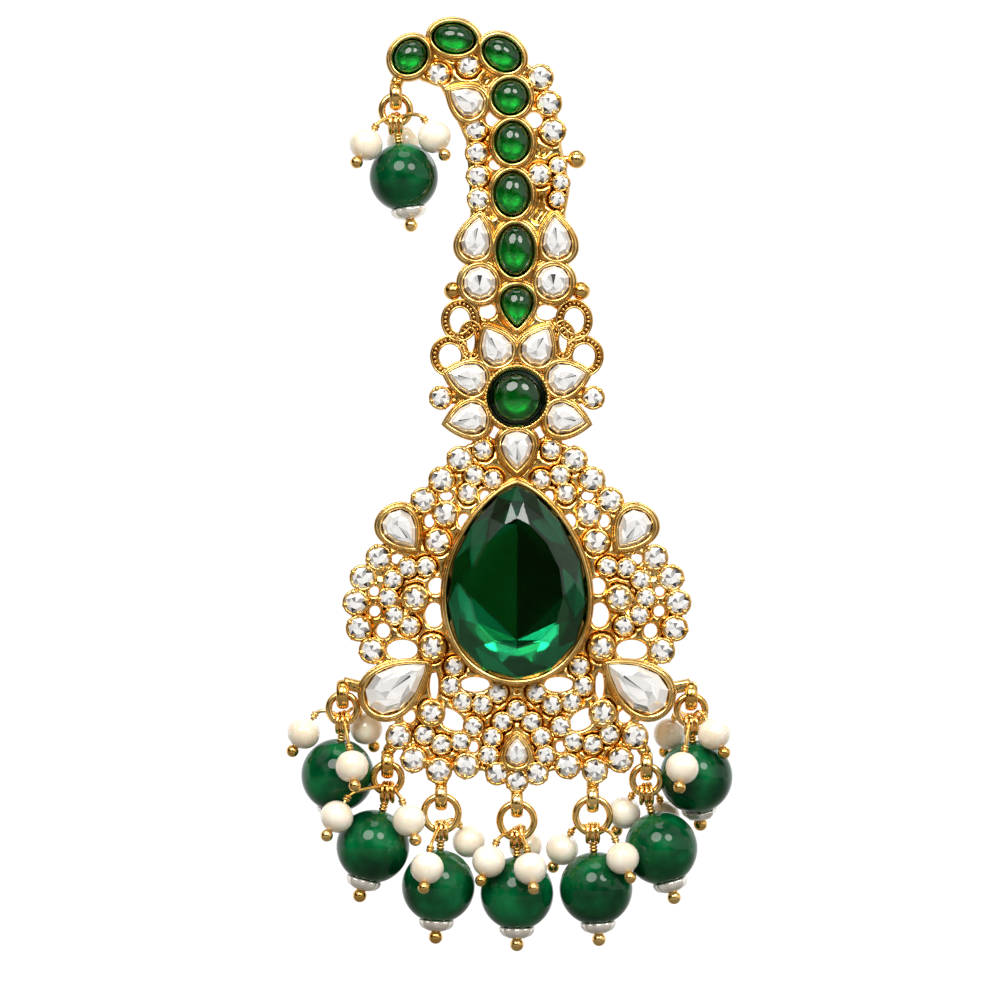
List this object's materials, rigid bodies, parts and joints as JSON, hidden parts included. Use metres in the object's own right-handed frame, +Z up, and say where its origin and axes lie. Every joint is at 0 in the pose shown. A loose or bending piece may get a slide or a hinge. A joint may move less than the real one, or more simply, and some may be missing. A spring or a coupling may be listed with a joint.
{
  "type": "turban ornament",
  "caption": "Hooked, pierced gold-plated ornament for a turban, set with green and clear stones, with green bead and pearl drops.",
  "frame": {"origin": "middle of the turban pin's straight prong, behind the plate", "axes": "+Z up along the ornament, -Y out of the stones' faces, +X to the right seen from the front"},
  "size_m": [0.0577, 0.0168, 0.1205],
  "materials": {
    "gold_plate": "polished gold plating",
    "gold_findings": "polished gold plating",
    "green_stone": "polished glass, foil backed",
    "clear_stone": "faceted glass, silver foil backed",
    "green_bead": "polished glass bead"
  },
  "bodies": {
    "root": {"bottom_petal": "clear_stone", "cabochon_1": "green_stone", "cabochon_2": "green_stone", "cabochon_3": "green_stone", "cabochon_4": "green_stone", "cabochon_5": "green_stone", "cabochon_6": "green_stone", "cabochon_7": "green_stone", "cabochon_8": "green_stone", "centre_stone": "green_stone", "drop_1_bead": "green_bead", "drop_1_ring": "gold_findings", "drop_1_spray": "gold_findings", "drop_2_bead": "green_bead", "drop_2_ring": "gold_findings", "drop_2_spray": "gold_findings", "drop_3_bead": "green_bead", "drop_3_ring": "gold_findings", "drop_3_spray": "gold_findings", "drop_4_bead": "green_bead", "drop_4_ring": "gold_findings", "drop_4_spray": "gold_findings", "drop_5_bead": "green_bead", "drop_5_ring": "gold_findings", "drop_5_spray": "gold_findings", "drop_6_bead": "green_bead", "drop_6_ring": "gold_findings", "drop_6_spray": "gold_findings", "drop_7_bead": "green_bead", "drop_7_ring": "gold_findings", "drop_7_spray": "gold_findings", "flower_cabochon": "green_stone", "hook_pear": "clear_stone", "low_pear_left": "clear_stone", "low_pear_right": "clear_stone", "lower_petal_left": "clear_stone", "lower_petal_right": "clear_stone", "middle_petal_left": "clear_stone", "middle_petal_right": "clear_stone", "neck_pear_left": "clear_stone", "neck_pear_right": "clear_stone", "neck_round_left": "clear_stone", "neck_round_right": "clear_stone", "plate": "gold_plate", "side_pear_left": "clear_stone", "side_pear_right": "clear_stone", "small_pear": "clear_stone", "top_drop_bead": "green_bead", "top_drop_ring": "gold_findings", "top_drop_spray": "gold_findings", "turban_pin": "gold_findings", "upper_petal_left": "clear_stone", "upper_petal_right": "clear_stone"}
  },
  "joints": []
}
